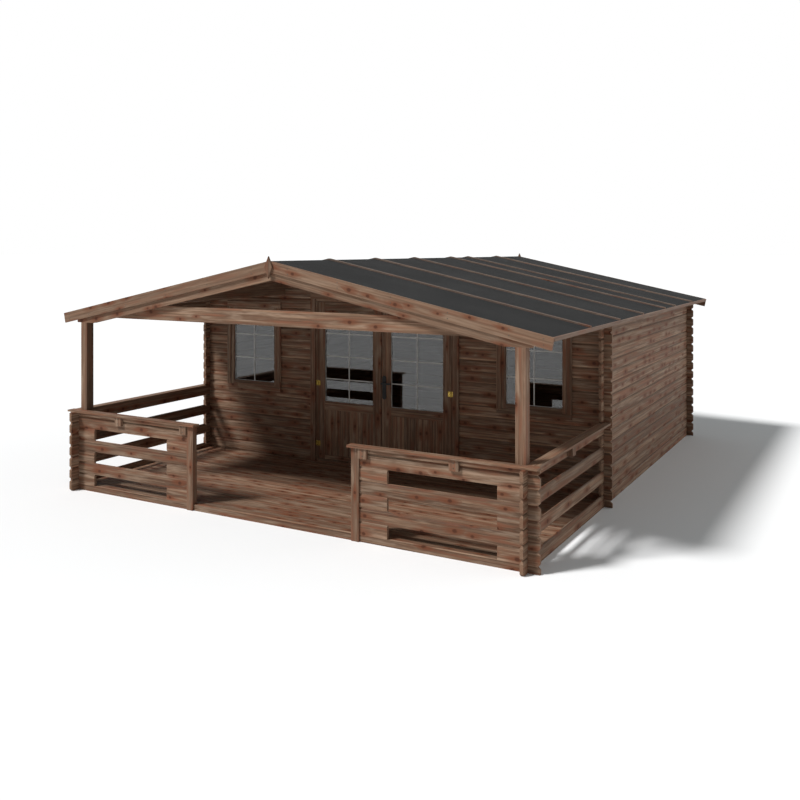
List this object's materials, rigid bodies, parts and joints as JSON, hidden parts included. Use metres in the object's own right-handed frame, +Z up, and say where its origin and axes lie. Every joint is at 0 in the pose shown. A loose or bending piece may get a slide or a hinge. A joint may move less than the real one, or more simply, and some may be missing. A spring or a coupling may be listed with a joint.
{
  "type": "log cabin garden shed with veranda",
  "caption": "Garden log cabin with interlocking log walls, a low gable roof with felt and battens, a railed veranda and a glazed double door that opens outwards.",
  "frame": {"origin": "on the ground, in the middle of the whole outline", "axes": "+X to the right along the front, +Y from the veranda to the back, +Z up"},
  "size_m": [5.284, 6.082, 2.379],
  "materials": {
    "stained_timber": "brown stained softwood",
    "floor_timber": "brown stained floor boards",
    "roof_felt": "dark mineral roofing felt",
    "window_glass": "clear glass",
    "hinge_brass": "bright brass",
    "black_iron": "black coated iron"
  },
  "bodies": {
    "cabin": {"front_sill": "stained_timber", "front_right_balustrade": "stained_timber", "front_left_balustrade": "stained_timber", "right_side_balustrade": "stained_timber", "left_side_balustrade": "stained_timber", "entrance_posts": "stained_timber", "front_caps": "stained_timber", "side_caps": "stained_timber", "cap_brackets": "stained_timber", "right_wall": "stained_timber", "left_wall": "stained_timber", "back_wall": "stained_timber", "front_wall_left": "stained_timber", "front_wall_right": "stained_timber", "front_gable": "stained_timber", "door_sill": "stained_timber", "floor_bearers": "stained_timber", "veranda_posts": "stained_timber", "rafters": "stained_timber", "tie_beam": "stained_timber", "ridge_purlin": "stained_timber", "side_purlins": "stained_timber", "roof_boards": "stained_timber", "roof_battens": "stained_timber", "front_barge_boards": "stained_timber", "back_barge_boards": "stained_timber", "finials": "stained_timber", "eave_boards": "stained_timber", "door_jambs": "stained_timber", "door_head": "stained_timber", "door_threshold": "stained_timber", "window_frames": "stained_timber", "veranda_floor": "floor_timber", "cabin_floor": "floor_timber", "roof_felt": "roof_felt", "window_glass": "window_glass", "jamb_hinge_flaps": "hinge_brass"},
    "left_door": {"left_door_leaf": "stained_timber", "left_door_glass": "window_glass", "left_door_hinges": "hinge_brass"},
    "right_door": {"right_door_leaf": "stained_timber", "right_door_glass": "window_glass", "right_door_hinges": "hinge_brass", "handle_plates": "black_iron"},
    "lever": {"lever_handle": "black_iron"}
  },
  "joints": [
    {"name": "left_door_hinge", "type": "hinge", "parent": "cabin", "child": "left_door", "pos_m": [-0.83, -0.97025, 1], "axis": [0, 0, -1], "range_deg": [0, 100]},
    {"name": "right_door_hinge", "type": "hinge", "parent": "cabin", "child": "right_door", "pos_m": [0.83, -0.97025, 1], "axis": [0, 0, 1], "range_deg": [0, 100]},
    {"name": "lever_turn", "type": "hinge", "parent": "right_door", "child": "lever", "pos_m": [0.0335, -0.944, 1], "axis": [0, 1, 0], "range_deg": [0, 45]}
  ]
}
